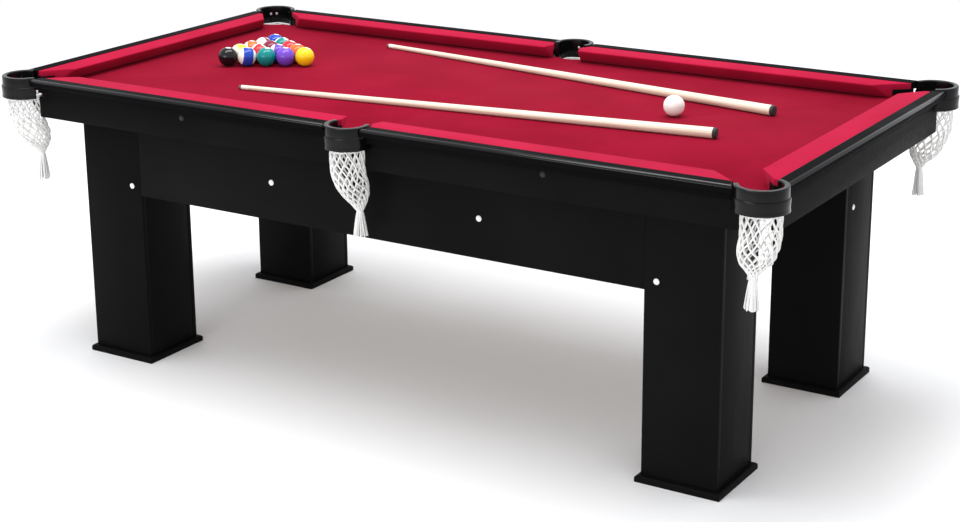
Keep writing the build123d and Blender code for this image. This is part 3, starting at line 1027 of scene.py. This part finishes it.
low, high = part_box("cue_ball")
centre, radius = (low + high) / 2, (high.z - low.z) / 2
cue_ball = polished_ball("cue_ball_polished", centre, radius)
cue_ball.data.materials.append(ball_finish("resin_ivory", IVORY, False, centre, radius, (0, 0, 0)))
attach(cue_ball, "cue_ball")
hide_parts("cue_ball")


# ---- cues --------------------------------------------------------------------------------------
# One-piece cues turned from pale maple and lacquered: a leather tip on a white ferrule at
# the thin end, a rubber bumper at the thick one.

CUE_LENGTH = 1.340
CUE_TIP_R = 0.006
CUE_BUTT_R = 0.0135
TIP_L = 0.009
FERRULE_L = 0.022
BUMPER_L = 0.009
TIP_ROUND = 0.0032
BUTT_ROUND = 0.0035
CUE_GAP = 0.0003
LEATHER_SHADES = ((0.10, 0.045, 0.035), (0.22, 0.10, 0.07))
MAPLE_SHADES = ((0.70, 0.61, 0.46), (0.82, 0.745, 0.60))
CUES = {"cue_back": ((-0.535, 0.390), -9.15), "cue_front": ((-0.570, -0.262), 6.8)}

leather = finish("tip_leather", (0.16, 0.07, 0.05), 0.8)
spread(leather, grain(leather, 800.0), shader_of(leather)["Base Color"], *LEATHER_SHADES)
ferrule = finish("ferrule_white", (0.84, 0.80, 0.72), 0.25)
spread(ferrule, grain(ferrule, 200.0), shader_of(ferrule)["Roughness"], 0.2, 0.32)
bumper = finish("bumper_rubber", (0.025, 0.022, 0.02), 0.7)
spread(bumper, grain(bumper, 500.0), shader_of(bumper)["Roughness"], 0.6, 0.8)

for body, (tip, heading) in CUES.items():
    rise = math.asin((CUE_BUTT_R - CUE_TIP_R) / CUE_LENGTH)
    start = Vector((*tip, cloth_top + CUE_GAP + CUE_TIP_R))
    aim = Euler((0, math.pi / 2 - rise, math.radians(heading))).to_matrix().to_4x4()
    bpy.ops.mesh.primitive_cone_add(
        vertices=28, radius1=CUE_TIP_R, radius2=CUE_BUTT_R, depth=CUE_LENGTH, location=(0, 0, CUE_LENGTH / 2)
    )
    cue = bpy.context.object
    bpy.ops.object.transform_apply(location=True, rotation=True, scale=True)
    bpy.ops.object.mode_set(mode="EDIT")
    joints = (TIP_L, TIP_L + FERRULE_L, CUE_LENGTH - BUMPER_L)
    for joint in joints:
        bpy.ops.mesh.select_all(action="SELECT")
        bpy.ops.mesh.bisect(plane_co=(0, 0, joint), plane_no=(0, 0, 1))
    pick("EDGE", lambda middle, edge: all(abs(end.co.z) < EXACT for end in edge.verts))
    bpy.ops.mesh.bevel(offset=TIP_ROUND, segments=4, affect="EDGES")
    pick("EDGE", lambda middle, edge: all(abs(end.co.z - CUE_LENGTH) < EXACT for end in edge.verts))
    bpy.ops.mesh.bevel(offset=BUTT_ROUND, segments=4, affect="EDGES")
    bpy.ops.object.mode_set(mode="OBJECT")
    maple = finish(f"maple_{body}", (0.86, 0.79, 0.64), 0.28, Coat_Weight=0.5, Coat_Roughness=0.12)
    figure = grain(maple, 30.0, stretch=(6.0, 0.35, 0.35), detail=7, turn=(0, 0, math.radians(heading)))
    spread(maple, figure, shader_of(maple)["Base Color"], *MAPLE_SHADES)
    for look in (leather, ferrule, maple, bumper):
        cue.data.materials.append(look)
    for face in cue.data.polygons:
        face.material_index = sum(face.center.z > joint for joint in joints)
    bpy.ops.object.shade_smooth_by_angle(angle=math.radians(40))
    cue.data.transform(Matrix.Translation(start) @ aim)
    cue.name = cue.data.name = f"{body}_turned"
    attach(cue, body)
    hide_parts(body)
